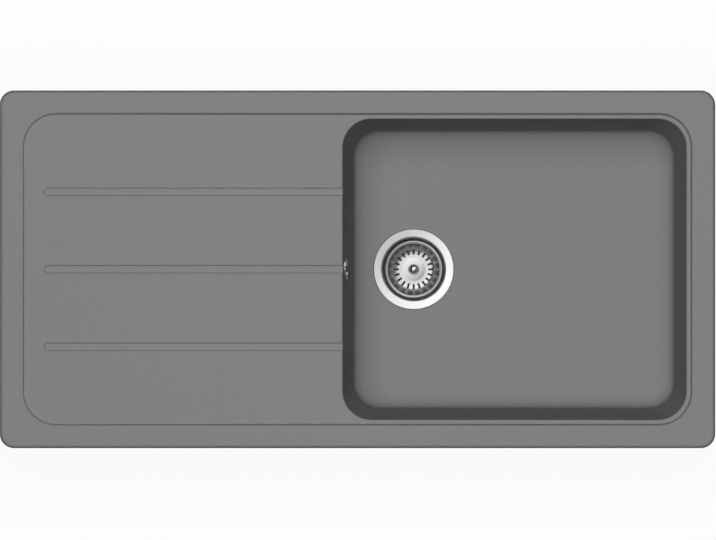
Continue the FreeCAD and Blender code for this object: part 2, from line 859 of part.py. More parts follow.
def outlet_connector():
    """The threaded outlet, welded by its collar to the foot of the cup."""
    collar_foot = cup_foot - outlet_collar_height
    thread_top = outlet_bottom + outlet_thread_length
    profile = [
        (outlet_inner_radius, outlet_bottom),
        (outlet_inner_radius, cup_foot),
        (outlet_collar_radius, cup_foot),
        (outlet_collar_radius, collar_foot),
        (outlet_neck_radius, collar_foot),
        (outlet_neck_radius, thread_top),
        (outlet_thread_radius, thread_top),
    ]
    turns = int((outlet_thread_length - 2 * thread_pitch) / thread_pitch)
    for index in range(turns):
        groove_top = thread_top - thread_pitch * (index + 0.75)
        profile.append((outlet_thread_radius, groove_top))
        profile.append((outlet_thread_radius - thread_depth, groove_top - 0.3 * thread_pitch))
        profile.append((outlet_thread_radius, groove_top - 0.6 * thread_pitch))
    profile += [
        (outlet_thread_radius, outlet_bottom + outlet_chamfer),
        (outlet_thread_radius - outlet_chamfer, outlet_bottom),
    ]
    return turned(profile, waste_centre)


def waste_insert():
    """The brass nut moulded into the hub."""
    inner = screw_radius + thread_play
    return ring(inner, brass_radius, hub_bottom, hub_top, waste_centre)


# ---- the overflow ----


def overflow_rosette():
    """The round cover: a bead round a flat dish for the screw, and notches that let the water in."""
    sheet, turn = rosette_sheet, rosette_bead_round
    hole = overflow_screw_radius + post_play
    bead = (rosette_radius - turn, rosette_height - turn)
    inner_foot = bead[0] - turn
    dish_radius = overflow_hole_radius - rosette_play
    cover = turned(
        [
            (rosette_radius, 0),
            (rosette_radius, bead[1]),
            bend(bead, turn, 0, 180),
            (dish_radius - sheet, rosette_dish_lip),
            (dish_radius - sheet, rosette_dish_height),
            (hole, rosette_dish_height),
            (hole, rosette_dish_height - sheet),
            (dish_radius, rosette_dish_height - sheet),
            (dish_radius, 0),
            (inner_foot + sheet, bead[1]),
            bend(bead, turn - sheet, 180, 0),
            (rosette_radius - sheet, 0),
        ]
    )
    reach = rosette_radius + through
    notch = Part.makeBox(
        reach,
        rosette_notch_width,
        rosette_height + 2 * through,
        Vector(rosette_notch_start, -rosette_notch_width / 2, -through),
    )
    notches = around(notch, Vector(0, 0, 0), rosette_notch_count)
    return overflow_place(Part.Compound([cover.cut(notches)]))


def overflow_screw():
    """The round-headed screw that draws the rosette and the elbow together."""
    radius, turn = overflow_screw_radius, overflow_screw_head_round
    seat = rosette_dish_height
    tip = seat - overflow_screw_length
    top = seat + overflow_screw_head_height
    head = turned(
        [
            (0, top),
            (overflow_screw_head - turn, top),
            bend((overflow_screw_head - turn, top - turn), turn, 90, 0),
            (overflow_screw_head, seat),
            (radius, seat),
            (radius, tip + radius / 2),
            (radius / 2, tip),
            (0, tip),
        ]
    )
    return overflow_place(Part.Compound([head.cut(cross_slots(top))]))


def cross_slots(top):
    """The two crossing slots of a screw's drive, cut down from a height."""
    length, width, depth = drive_slot_length, drive_slot_width, drive_slot_depth
    low = top - depth
    along = Part.makeBox(length, width, depth + through, Vector(-length / 2, -width / 2, low))
    across_it = Part.makeBox(width, length, depth + through, Vector(-width / 2, -length / 2, low))
    return [along, across_it]


def wall_back():
    """The height of the bowl wall's outer face in the overflow's own frame."""
    return -bowl_wall * math.cos(math.radians(bowl_draft))


def overflow_gasket():
    """The ring between the bowl's wall and the elbow."""
    back = wall_back()
    outer = elbow_flange_radius - gasket_inset
    gasket = ring(overflow_hole_radius, outer, back - overflow_gasket_thickness, back)
    return overflow_place(Part.Compound([gasket]))


def overflow_elbow():
    """The elbow behind the wall: a flanged cup with a post for the screw, and a socket downwards."""
    back = wall_back() - overflow_gasket_thickness
    inner = elbow_radius - elbow_wall
    flange = Part.makeCylinder(
        elbow_flange_radius, elbow_flange_thickness, Vector(0, 0, back - elbow_flange_thickness)
    )
    cup = Part.makeCylinder(elbow_radius, back + elbow_depth, Vector(0, 0, -elbow_depth))
    chamber_base = Vector(0, 0, elbow_wall - elbow_depth)
    chamber = Part.makeCylinder(inner, elbow_depth + through, chamber_base)
    post = Part.makeCylinder(
        elbow_post_radius,
        elbow_depth - elbow_wall / 2 - elbow_post_start,
        Vector(0, 0, elbow_wall / 2 - elbow_depth),
    )
    hole_depth = overflow_screw_length - rosette_dish_height + screw_end_gap
    hole = Part.makeCylinder(
        overflow_screw_radius + thread_play, hole_depth, Vector(0, 0, -hole_depth)
    )
    chamber, post, hole, outside = [
        overflow_place(Part.Compound([shape])) for shape in (chamber, post, hole, flange.fuse(cup))
    ]
    socket_outer = pipe_radius + pipe_play + socket_wall
    mouth = Vector(pipe_x, waste_y, elbow_socket_bottom)
    middle_z = ledge_z - overflow_drop
    up = middle_z - elbow_socket_bottom
    down = Part.makeCylinder(socket_outer, up, mouth)
    throat = Part.makeCylinder(pipe_radius - pipe_wall, up, mouth)
    socket = Part.makeCylinder(pipe_radius + pipe_play, socket_length + through, mouth)
    socket.translate(Vector(0, 0, -through))
    elbow = outside.fuse(down).cut([chamber, throat, socket])
    return elbow.fuse(post).cut(hole).removeSplitter()


def overflow_pipe():
    """The pipe down behind the bowl and under its floor to the waste body."""
    start_z = elbow_socket_bottom + pipe_insertion
    level_z = floor_z + spigot_height
    spigot_end = waste_x - cup_inner_radius - cup_wall - spigot_reach
    turn = pipe_bend_radius
    middle = (pipe_x + turn, level_z + turn)
    arc_middle, arc_end = bend(middle, turn, 180, 270)
    top = Vector(pipe_x, waste_y, start_z)
    arc_start = Vector(pipe_x, waste_y, level_z + turn)
    path = Part.Wire(
        [
            Part.LineSegment(top, arc_start).toShape(),
            Part.Arc(
                arc_start,
                Vector(arc_middle[0], waste_y, arc_middle[1]),
                Vector(arc_end[0], waste_y, arc_end[1]),
            ).toShape(),
            Part.LineSegment(
                Vector(arc_end[0], waste_y, level_z),
                Vector(spigot_end + pipe_insertion, waste_y, level_z),
            ).toShape(),
        ]
    )

    def rod(radius):
        circle = Part.Wire([Part.Circle(top, Vector(0, 0, 1), radius).toShape()])
        return path.makePipeShell([circle], True, False)

    return rod(pipe_radius).cut(rod(pipe_radius - pipe_wall))


def slip_nut():
    """A slip nut, mouth up: it screws on a socket and holds a cone seal under the socket's end."""
    socket_outer = pipe_radius + pipe_play + socket_wall
    outer = socket_outer + slip_nut_wall
    collar_top = -cone_seal_thickness - seal_gap
    foot = collar_top - slip_nut_collar
    flats = [
        on_circle((0, 0), outer / math.cos(math.pi / slip_nut_flats), 360 * k / slip_nut_flats)
        for k in range(slip_nut_flats)
    ]
    points = [Vector(x, y, foot) for x, y in flats]
    blank = Part.Face(Part.makePolygon(points + points[:1])).extrude(Vector(0, 0, slip_nut_length))
    bore = Part.makeCylinder(socket_outer + thread_play, slip_nut_length, Vector(0, 0, collar_top))
    eye = Part.makeCylinder(pipe_radius + pipe_play, slip_nut_length, Vector(0, 0, foot - 1))
    return blank.cut([bore, eye])


def cone_seal():
    """The rubber ring between a socket's end and its slip nut."""
    outer = pipe_radius + pipe_play + socket_wall
    return ring(pipe_radius + seal_gap, outer, -cone_seal_thickness, -seal_gap)


def at_elbow_socket(shape):
    """Puts a slip nut or its seal on the elbow's socket."""
    shape.translate(Vector(pipe_x, waste_y, elbow_socket_bottom))
    return shape


def at_spigot(shape):
    """Puts a slip nut or its seal on the waste body's side spigot."""
    shape.rotate(Vector(0, 0, 0), Vector(0, 1, 0), 90)
    spigot_end = waste_x - cup_inner_radius - cup_wall - spigot_reach
    shape.translate(Vector(spigot_end, waste_y, floor_z + spigot_height))
    return shape


# ---- the worktop clamps ----


def clamp_insert():
    """The plastic plug in a boss, bored for the clamp's screw."""
    head = ring(bore_radius, insert_head_radius, insert_foot, boss_bottom)
    plug_radius = boss_hole_radius - insert_play
    plug = ring(bore_radius, plug_radius, boss_bottom, boss_bottom + insert_length)
    return head.fuse(plug).removeSplitter()


def clamp_screw():
    """The clamp's screw, let right down, with a low round head and a cross drive."""
    top = insert_foot + clamp_grip
    head_top = arm_top - arm_thickness - clamp_head_gap
    head_foot = head_top - clamp_head_height
    screw = turned(
        [
            (0, top),
            (clamp_screw_radius - clamp_tip_chamfer, top),
            (clamp_screw_radius, top - clamp_tip_chamfer),
            (clamp_screw_radius, head_top),
            (clamp_head_radius, head_top),
            (clamp_head_radius, head_foot + clamp_head_chamfer),
            (clamp_head_radius - clamp_head_chamfer, head_foot),
            (0, head_foot),
        ]
    )
    slots = cross_slots(0)
    for slot in slots:
        slot.rotate(Vector(0, 0, 0), Vector(1, 0, 0), 180)
        slot.translate(Vector(0, 0, head_foot))
    return screw.cut(slots)


def clamp_arm():
    """The steel arm: a base round the screw, a step down and a toe with an upturned lip."""
    thick, inner = arm_thickness, arm_bend_radius
    outer = inner + thick
    low = arm_top - thick
    toe_top = arm_top - arm_step
    step = arm_step_start
    riser_out = step + outer
    heel = -arm_width / 2
    lip_start = arm_reach - thick
    side = flat_face(
        [
            (heel, low),
            (step, low),
            bend((step, low - inner), inner, 90, 0),
            (step + inner, toe_top + inner),
            bend((step + inner + outer, toe_top + inner), outer, 180, 270),
            (arm_reach, toe_top - thick),
            (arm_reach, toe_top + arm_lip),
            (lip_start, toe_top + arm_lip),
            (lip_start, toe_top),
            (step + inner + outer, toe_top),
            bend((step + inner + outer, toe_top + inner), inner, 270, 180),
            (riser_out, low - inner),
            bend((step, low - inner), outer, 0, 90),
            (heel, arm_top),
        ],
        upright,
    )
    side.translate(Vector(0, -arm_width / 2, 0))
    strip = side.extrude(Vector(0, arm_width, 0))
    depth = arm_step + 4 * thick
    foot = Vector(0, 0, toe_top - 2 * thick)
    plan = Part.makeCylinder(arm_width / 2, depth, foot).fuse(
        Part.makeBox(arm_reach + 1, arm_width, depth, foot - Vector(0, arm_width / 2, 0))
    )
    hole = Part.makeCylinder(clamp_screw_radius + arm_hole_play, depth, foot)
    return strip.common(plan).cut(hole)


def at_station(shape, x, y, turn):
    """Puts a clamp's piece at its station, with its arm along the rim."""
    shape.rotate(Vector(0, 0, 0), Vector(0, 0, 1), turn)
    shape.translate(Vector(x, y, 0))
    return shape


def pieces():
    """Every piece by its name."""
    made = {
        "sink_body": sink_body(),
        "rim_seal": seal_ring(0, seal_thickness, seal_play),
        "strainer_flange": strainer_flange(),
        "flange_gasket": flange_gasket(),
        "waste_gasket": waste_gasket(),
        "waste_body": waste_body(),
        "outlet_connector": outlet_connector(),
        "waste_insert": waste_insert(),
        "strainer_screw": strainer_screw(),
        "strainer_basket": basket(),
        "basket_seal": basket_seal(),
        "basket_post": basket_post(),
        "post_ring": post_ring(),
        "basket_knob": basket_knob(),
        "overflow_rosette": overflow_rosette(),
        "overflow_screw": overflow_screw(),
        "overflow_gasket": overflow_gasket(),
        "overflow_elbow": overflow_elbow(),
        "overflow_pipe": overflow_pipe(),
        "overflow_nut_top": at_elbow_socket(slip_nut()),
        "overflow_seal_top": at_elbow_socket(cone_seal()),
        "overflow_nut_bottom": at_spigot(slip_nut()),
        "overflow_seal_bottom": at_spigot(cone_seal()),
    }
    for name, x, y, turn in clamp_stations():
        made[f"clamp_insert_{name}"] = at_station(clamp_insert(), x, y, turn)
        made[f"clamp_screw_{name}"] = at_station(clamp_screw(), x, y, turn)
        made[f"clamp_arm_{name}"] = at_station(clamp_arm(), x, y, turn)
    return made


def main():
    """Writes one STEP file for each piece."""
    os.makedirs("parts", exist_ok=True)
    for name, shape in pieces().items():
        whole = shape.Solids[0] if len(shape.Solids) == 1 else shape
        whole.exportStep(os.path.join("parts", name + ".step"))
        print(name, len(shape.Solids), "solid", round(whole.Volume, 1), "mm3", whole.isValid())


main()
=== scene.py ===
"""Inset kitchen sink with a drainboard, in grey stone composite: its finishes, its threaded and ribbed
pieces, and the studio that it stands in.

Everything is in metres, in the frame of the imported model: +X towards the bowl, +Y to the back of the
worktop, +Z up, with the origin in the middle of the rim's underside. A node's place is read from the
model, so a piece that stands for a node lies where the node lies.
"""

import json
import logging
import math
from dataclasses import dataclass
from enum import Enum

import bpy
import numpy as np
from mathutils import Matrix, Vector

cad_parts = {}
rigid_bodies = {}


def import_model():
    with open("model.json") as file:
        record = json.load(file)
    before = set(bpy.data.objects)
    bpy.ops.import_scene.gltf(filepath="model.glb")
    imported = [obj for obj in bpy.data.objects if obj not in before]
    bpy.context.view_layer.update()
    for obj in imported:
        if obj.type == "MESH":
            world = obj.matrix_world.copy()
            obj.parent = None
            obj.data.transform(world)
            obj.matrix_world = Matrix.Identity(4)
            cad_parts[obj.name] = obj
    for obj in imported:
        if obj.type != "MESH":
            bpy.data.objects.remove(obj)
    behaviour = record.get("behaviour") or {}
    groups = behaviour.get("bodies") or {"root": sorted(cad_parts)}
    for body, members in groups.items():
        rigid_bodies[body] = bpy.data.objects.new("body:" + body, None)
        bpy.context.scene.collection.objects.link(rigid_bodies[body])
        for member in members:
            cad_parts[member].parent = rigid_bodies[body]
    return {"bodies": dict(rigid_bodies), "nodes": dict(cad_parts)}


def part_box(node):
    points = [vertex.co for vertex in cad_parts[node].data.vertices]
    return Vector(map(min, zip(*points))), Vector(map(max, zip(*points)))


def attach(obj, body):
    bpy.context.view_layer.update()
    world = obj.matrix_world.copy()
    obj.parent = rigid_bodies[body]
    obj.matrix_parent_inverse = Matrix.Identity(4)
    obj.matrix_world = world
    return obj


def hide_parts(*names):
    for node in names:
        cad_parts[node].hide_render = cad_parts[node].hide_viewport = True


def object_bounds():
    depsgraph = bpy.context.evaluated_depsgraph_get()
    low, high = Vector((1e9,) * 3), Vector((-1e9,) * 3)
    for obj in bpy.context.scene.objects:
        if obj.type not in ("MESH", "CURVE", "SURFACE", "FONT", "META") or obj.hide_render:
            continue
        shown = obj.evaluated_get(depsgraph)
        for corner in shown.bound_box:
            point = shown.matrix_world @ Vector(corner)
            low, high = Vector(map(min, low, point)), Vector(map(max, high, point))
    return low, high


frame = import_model()
cad_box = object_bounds()

MM = 0.001
SAME_PLACE = 0.001 * MM  # what lies nearer than this lies in one place
FULL_TURN = 2 * math.pi
SHARP_ANGLE = math.radians(35.0)  # an edge stays sharp where its faces turn by more
NOISE_RANGE = (0.3, 0.7)  # most values of a noise lie in it
log = logging.getLogger("sink")


# ---- small tools ----


def linear(hex_colour: str) -> tuple[float, float, float, float]:
    """Turns an sRGB hex colour into linear light.

    Each channel c goes to c / 12.92 near black and to ((c + 0.055) / 1.055) ** 2.4 above it.

    Args:
        hex_colour: The colour as "#rrggbb".

    Returns:
        Red, green, blue and an alpha of 1.
    """
    channels = np.array([int(hex_colour[i : i + 2], 16) for i in (1, 3, 5)]) / 255
    low = channels / 12.92
    high = ((channels + 0.055) / 1.055) ** 2.4
    red, green, blue = np.where(channels <= 0.04045, low, high)
    return float(red), float(green), float(blue), 1.0


def add_node(tree: bpy.types.NodeTree, kind: str, inputs: dict | None = None, **settings) -> bpy.types.Node:
    """Adds one node to a tree.

    Args:
        tree: The tree that gets the node.
        kind: The node's type, without its ShaderNode prefix.
        inputs: Sockets by name or number, each with a value or another node's output.
        settings: The node's own properties.

    Returns:
        The new node.
    """
    node = tree.nodes.new("ShaderNode" + kind)
    for key, value in settings.items():
        setattr(node, key, value)
    for key, value in (inputs or {}).items():
        if isinstance(value, bpy.types.NodeSocket):
            tree.links.new(value, node.inputs[key])
        else:
            node.inputs[key].default_value = value
    return node


class Axis(Enum):
    """An axis of the frame, as its index."""

    X = 0
    Y = 1
    Z = 2


class Ends(Enum):
    """How a surface closes along its rows."""

    POLES = "a fan to the middle of its first and last row"
    LOOP = "its last row meets its first"


@dataclass(frozen=True)
class Box:
    """A node's box at rest."""

    low: Vector
    high: Vector

    @classmethod
    def of(cls, node: str) -> "Box":
        """The box of a node of the model."""
        low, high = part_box(node)
        return cls(low, high)

    @property
    def middle(self) -> Vector:
        """The box's middle."""
        return (self.low + self.high) / 2


# ---- finishes ----


@dataclass(frozen=True)
class Finish:
    """What all finishes share: a name, a colour and a gloss.

    Attributes:
        name: The material's name, after the real material and how its surface was made.
        colour: Its colour as sRGB hex.
        roughness: The Principled shader's roughness.
    """

    name: str
    colour: str
    roughness: float

    def build(self) -> bpy.types.Material:
        """Makes the material, with the pattern that the finish draws on it.

        Returns:
            The material.
        """
        material = bpy.data.materials.new(self.name)
        material.use_nodes = True
        tree = material.node_tree
        shader = tree.nodes["Principled BSDF"]
        shader.inputs["Base Color"].default_value = linear(self.colour)
        shader.inputs["Roughness"].default_value = self.roughness
        place = add_node(tree, "TexCoord").outputs["Object"]
        self.draw(tree, shader.inputs, place)
        return material

    def draw(self, tree: bpy.types.NodeTree, sockets: bpy.types.bpy_prop_collection,
             place: bpy.types.NodeSocket) -> None:
        """Adds the finish's own pattern; a plain finish adds none.

        Args:
            tree: The material's tree.
            sockets: The shader's inputs.
            place: Where the pattern is read.
        """

    @staticmethod
    def bump(tree: bpy.types.NodeTree, height: bpy.types.NodeSocket,
             depth: float) -> bpy.types.NodeSocket:
        """Turns a height from 0 to 1 into a normal.

        Args:
            tree: The material's tree.
            height: The height.
            depth: What a height of 1 stands for, in metres.

        Returns:
            The normal.
        """
        inputs = {"Height": height, "Distance": depth, "Strength": 1.0}
        return add_node(tree, "Bump", inputs).outputs["Normal"]

    @staticmethod
    def noise(tree: bpy.types.NodeTree, place: bpy.types.NodeSocket, size: float,
              detail: float = 2.0) -> bpy.types.NodeSocket:
        """A cloud noise from 0 to 1 whose features have a real size.

        Args:
            tree: The material's tree.
            place: Where the noise is read.
            size: The size of a feature, in metres.
            detail: How many finer octaves it has.

        Returns:
            The noise.
        """
        inputs = {"Vector": place, "Scale": 1 / size, "Detail": detail}
        return add_node(tree, "TexNoise", inputs).outputs["Fac"]

    @staticmethod
    def spread(tree: bpy.types.NodeTree, value: bpy.types.NodeSocket, low: float,
               high: float) -> bpy.types.NodeSocket:
        """Maps a noise from its usual range onto another.

        Args:
            tree: The material's tree.
            value: The noise.
            low: What the usual range's low end becomes.
            high: What its high end becomes.

        Returns:
            The mapped value.
        """
        start, end = NOISE_RANGE
        inputs = {"Value": value, "From Min": start, "From Max": end, "To Min": low, "To Max": high}
        return add_node(tree, "MapRange", inputs).outputs["Result"]

    @staticmethod
    def mix(tree: bpy.types.NodeTree, share: bpy.types.NodeSocket, first: tuple,
            second: tuple) -> bpy.types.NodeSocket:
        """Mixes two colours, or a colour and another mix.

        The colour sockets of a Mix node share their names with its number sockets, so they go by number.

        Args:
            tree: The material's tree.
            share: How much of the second shows, from 0 to 1.
            first: The colour at 0, or an output that gives it.
            second: The colour at 1, or an output that gives it.

        Returns:
            The mixed colour.
        """
        first_colour, second_colour, mixed_colour = 6, 7, 2
        inputs = {"Factor": share, first_colour: first, second_colour: second}
        return add_node(tree, "Mix", inputs, data_type="RGBA").outputs[mixed_colour]


@dataclass(frozen=True)
class StoneComposite(Finish):
    """Acrylic resin filled with quartz flour and moulded: dull, even grey, with a fine grit in it.

    The grit of the real one is about 0.3 mm. It is drawn coarser, because it wouldn't show at the scale
    of a whole sink, and faint, because the sink reads as one even grey.

    Attributes:
        pale: The colour of the pale grit.
        dark: The colour of the dark grit.
        grit: The size of the drawn grit.
        cloud: The size of the soft clouds that the mould's filling leaves.
        least_grain: How much of the grit shows where a cloud is thinnest.
        most_grain: How much shows where it is thickest.
        relief: The depth of the moulded surface's grain.
        gloss: The specular level, none because the surface is matte at every angle.
    """

    pale: str = "#8c8c8e"
    dark: str = "#757577"
    grit: float = 1.3 * MM
    cloud: float = 70 * MM
    least_grain: float = 0.2
    most_grain: float = 0.45
    relief: float = 0.02 * MM
    gloss: float = 0.0

    def draw(self, tree: bpy.types.NodeTree, sockets: bpy.types.bpy_prop_collection,
             place: bpy.types.NodeSocket) -> None:
        """Draws pale and dark grit over the base colour, clouds, and the grain's relief.

        Args:
            tree: The material's tree.
            sockets: The shader's inputs.
            place: Where the pattern is read.
        """
        grit = self.noise(tree, place, self.grit, detail=3.0)
        cloud = self.noise(tree, place, self.cloud, detail=1.0)
        grain = self.mix(tree, self.spread(tree, grit, 0, 1), linear(self.dark), linear(self.pale))
        share = self.spread(tree, cloud, self.least_grain, self.most_grain)
        ground = self.mix(tree, share, linear(self.colour), grain)
        tree.links.new(ground, sockets["Base Color"])
        tree.links.new(self.bump(tree, grit, self.relief), sockets["Normal"])
        sockets["Specular IOR Level"].default_value = self.gloss


@dataclass(frozen=True)
class TurnedMetal(Finish):
    """Metal brushed or turned on a lathe, so its fine scratches are rings about one axis.

    A brushed ring is about 0.1 mm wide. It is drawn several times as wide, so that it shows.

    Attributes:
        shade: The colour between the bright rings.
        axis: The axis that the rings go round.
        centre: A point on that axis, in metres.
        ring: The width of a drawn ring.
        relief: The depth of a ring.
        polish: How much less rough than the mean a bright ring is.
        scratch: How much rougher than the mean the metal between two is.
        drawn_below: The height below which the sheet is left as the press drew it, dull and unbrushed.
            The default lies below the whole sink, so that all of it is brushed.
        drawn_blend: Over what height the one turns into the other.
        drawn_roughness: How much rougher the drawn sheet is.
    """

    shade: str = "#a9a8a6"
    axis: Axis = Axis.Z
    centre: tuple[float, float, float] = (0.0, 0.0, 0.0)
    ring: float = 0.6 * MM
    relief: float = 0.004 * MM
    polish: float = 0.05
    scratch: float = 0.08
    drawn_below: float = -1.0
    drawn_blend: float = 1.5 * MM
    drawn_roughness: float = 0.3

    def draw(self, tree: bpy.types.NodeTree, sockets: bpy.types.bpy_prop_collection,
             place: bpy.types.NodeSocket) -> None:
        """Reads a noise along the distance from the axis, and dulls the sheet that is left as drawn.

        The noise gives the tone, the gloss and the relief of the rings.

        Args:
            tree: The material's tree.
            sockets: The shader's inputs.
            place: Where the pattern is read.
        """
        square_to_axis = [0.0 if other is self.axis else 1.0 for other in Axis]
        shifted = add_node(tree, "VectorMath", {0: place, 1: self.centre}, operation="SUBTRACT")
        flat = add_node(tree, "VectorMath", {0: shifted.outputs[0], 1: square_to_axis}, operation="MULTIPLY")
        radius = add_node(tree, "VectorMath", {0: flat.outputs[0]}, operation="LENGTH").outputs["Value"]
        inputs = {"W": radius, "Scale": 1 / self.ring, "Detail": 4.0}
        rings = add_node(tree, "TexNoise", inputs, noise_dimensions="1D").outputs["Fac"]
        tone = self.mix(tree, self.spread(tree, rings, 0, 1), linear(self.colour), linear(self.shade))
        gloss = self.spread(tree, rings, self.roughness - self.polish, self.roughness + self.scratch)
        height = add_node(tree, "SeparateXYZ", {0: place}).outputs["Z"]
        inputs = {"Value": height, "From Min": self.drawn_below - self.drawn_blend,
                  "From Max": self.drawn_below, "To Min": self.drawn_roughness, "To Max": 0.0}
        drawn = add_node(tree, "MapRange", inputs).outputs["Result"]
        dulled = add_node(tree, "Math", {0: gloss, 1: drawn}, operation="ADD").outputs[0]
        tree.links.new(tone, sockets["Base Color"])
        tree.links.new(dulled, sockets["Roughness"])
        tree.links.new(self.bump(tree, rings, self.relief), sockets["Normal"])
        sockets["Metallic"].default_value = 1.0


@dataclass(frozen=True)
class PlatedMetal(Finish):
    """Metal with a plated or polished skin: one bright tone with a faint bloom.

    Attributes:
        bloom: The colour of the duller patches.
        patch: The size of a patch.
        haze: How much rougher a dull patch is.
        relief: The depth of the skin's orange peel.
    """

    bloom: str = "#b4b6ba"
    patch: float = 3 * MM
    haze: float = 0.1
    relief: float = 0.002 * MM

    def draw(self, tree: bpy.types.NodeTree, sockets: bpy.types.bpy_prop_collection,
             place: bpy.types.NodeSocket) -> None:
        """Mixes the two tones by a cloud noise, which also dulls the gloss.

        Args:
            tree: The material's tree.
            sockets: The shader's inputs.
            place: Where the pattern is read.
        """
        cloud = self.noise(tree, place, self.patch)
        share = self.spread(tree, cloud, 0, 1)
        tree.links.new(self.mix(tree, share, linear(self.colour), linear(self.bloom)), sockets["Base Color"])
        tree.links.new(self.spread(tree, cloud, self.roughness, self.roughness + self.haze),
                       sockets["Roughness"])
        tree.links.new(self.bump(tree, cloud, self.relief), sockets["Normal"])
        sockets["Metallic"].default_value = 1.0


class Grain(Enum):
    """What the skin of a moulded part is like."""

    ERODED = "the fine even grain of a spark-eroded mould"
    CELLS = "the cut cells of a closed-cell foam"


@dataclass(frozen=True)
class MouldedSkin(Finish):
    """Rubber, foam or plastic as it leaves the mould.

    Attributes:
        shade: The darker colour: painted shade in an eroded grain's hollows, and in foam a tone that grows
            towards each cell's edge.
        shade_share: How much of that painted shade the deepest hollows of an eroded grain take.
        grain: What its skin is like.
        pitch: The distance between two grains or cells.
        relief: How deep they are.
        gloss: The specular level.
    """

    shade: str = "#000000"
    shade_share: float = 0.6
    grain: Grain = Grain.ERODED
    pitch: float = 0.8 * MM
    relief: float = 0.02 * MM
    gloss: float = 0.5

    def draw(self, tree: bpy.types.NodeTree, sockets: bpy.types.bpy_prop_collection,
             place: bpy.types.NodeSocket) -> None:
        """Draws the grain as relief, with a darker tone: painted shade in an eroded grain's hollows, and in
        foam a tone that grows towards each cell's edge.

        Args:
            tree: The material's tree.
            sockets: The shader's inputs.
            place: Where the pattern is read.
        """
        if self.grain is Grain.CELLS:
            inputs = {"Vector": place, "Scale": 1 / self.pitch}
            height = add_node(tree, "TexVoronoi", inputs).outputs["Distance"]
            share = height
        else:
            height = self.noise(tree, place, self.pitch, detail=3.0)
            # painted shade: where the grain's noise is low, in its hollows, more of the darker colour shows
            share = self.spread(tree, height, self.shade_share, 0)
        tree.links.new(self.mix(tree, share, linear(self.colour), linear(self.shade)), sockets["Base Color"])
        tree.links.new(self.bump(tree, height, self.relief), sockets["Normal"])
        sockets["Specular IOR Level"].default_value = self.gloss


# ---- surfaces ----


@dataclass
class Surface:
    """A closed surface worked out on a grid of rows and columns.

    Attributes:
        grid: The points, as rows by columns by three. The columns go once round, and the last meets
            the first.
        ends: How the rows close.
    """

    grid: np.ndarray
    ends: Ends

    def faces(self) -> tuple[np.ndarray, np.ndarray, np.ndarray]:
        """Works out the surface's points and faces.

        Quad (i, j) joins points (i, j), (i, j + 1), (i + 1, j + 1) and (i + 1, j), with both numbers
        taken round the grid where it closes. A pole adds the mean point of its row and a fan to it.

        Returns:
            The points, the quads and the triangles.
        """
        rows, columns, _ = self.grid.shape
        points = self.grid.reshape(-1, 3)
        steps = rows if self.ends is Ends.LOOP else rows - 1
        row, column = np.indices((steps, columns)).reshape(2, -1)
        next_row, next_column = (row + 1) % rows, (column + 1) % columns
        quads = np.stack([row * columns + column, row * columns + next_column,
                          next_row * columns + next_column, next_row * columns + column], axis=1)
        if self.ends is Ends.LOOP:
            return points, quads, np.empty((0, 3), int)
        around = np.arange(columns)
        beside = (around + 1) % columns
        last = (rows - 1) * columns
        first_pole = np.full(columns, rows * columns)
        first_fan = np.stack([beside, around, first_pole], axis=1)
        last_fan = np.stack([last + around, last + beside, first_pole + 1], axis=1)
        points = np.vstack([points, self.grid[0].mean(axis=0), self.grid[-1].mean(axis=0)])
        return points, quads, np.vstack([first_fan, last_fan])


def signed_volume(points: np.ndarray, quads: np.ndarray, triangles: np.ndarray) -> float:
    """The volume that faces enclose, below zero where they point inwards.

    It sums the tetrahedra between the origin and each triangle: a . (b x c) / 6.

    Args:
        points: The points.
        quads: Faces with four corners.
        triangles: Faces with three corners.

    Returns:
        The volume.
    """
    split = np.vstack([triangles, quads[:, [0, 1, 2]], quads[:, [0, 2, 3]]])
    first, second, third = (points[split[:, k]] for k in range(3))
    return float(np.einsum("ij,ij->", first, np.cross(second, third)) / 6)


def make_piece(name: str, surfaces: list[Surface], material: bpy.types.Material, body: str,
               replaces: str) -> bpy.types.Object:
    """Makes one piece of closed surfaces, and hands it to the model.

    Args:
        name: The piece's name.
        surfaces: Its closed surfaces.
        material: Its finish.
        body: The body that it rides on.
        replaces: The node that it stands for.

    Returns:
        The piece.
    """
    corners, sizes, points, count = [], [], [], 0
    for surface in surfaces:
        own, quads, triangles = surface.faces()
        if signed_volume(own - own.mean(axis=0), quads, triangles) < 0:
            quads, triangles = quads[:, ::-1], triangles[:, ::-1]
        for faces in (quads, triangles):
            corners.append((faces + count).ravel())
            sizes.append(np.full(len(faces), faces.shape[1]))
        points.append(own)
        count += len(own)
    corner, size = np.concatenate(corners), np.concatenate(sizes)
    mesh = bpy.data.meshes.new(name)
    mesh.vertices.add(count)
    mesh.loops.add(len(corner))
    mesh.polygons.add(len(size))
    mesh.vertices.foreach_set("co", np.vstack(points).astype(np.float32).ravel())
    mesh.loops.foreach_set("vertex_index", corner.astype(np.int32))
    mesh.polygons.foreach_set("loop_start", (np.cumsum(size) - size).astype(np.int32))
    mesh.update(calc_edges=True)
    mesh.validate()
    mesh.shade_smooth()
    mesh.set_sharp_from_angle(angle=SHARP_ANGLE)
    mesh.materials.append(material)
    piece = bpy.data.objects.new(name, mesh)
    bpy.context.scene.collection.objects.link(piece)
    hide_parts(replaces)
    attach(piece, body)
    log.info("made %s: %d points, rides on %s", name, count, body)
    return piece


def dress(nodes: list[str], material: bpy.types.Material) -> None:
    """Gives nodes of the model a finish.

    Args:
        nodes: The nodes' names.
        material: The finish.
    """
    for node in nodes:
        piece = frame["nodes"][node]
        for slot in piece.material_slots:
            slot.material = material
        log.info("dressed %s in %s", node, material.name)


def ring_angles(count: int) -> np.ndarray:
    """Evenly spaced angles once round, without the last."""
    return np.arange(count) * FULL_TURN / count


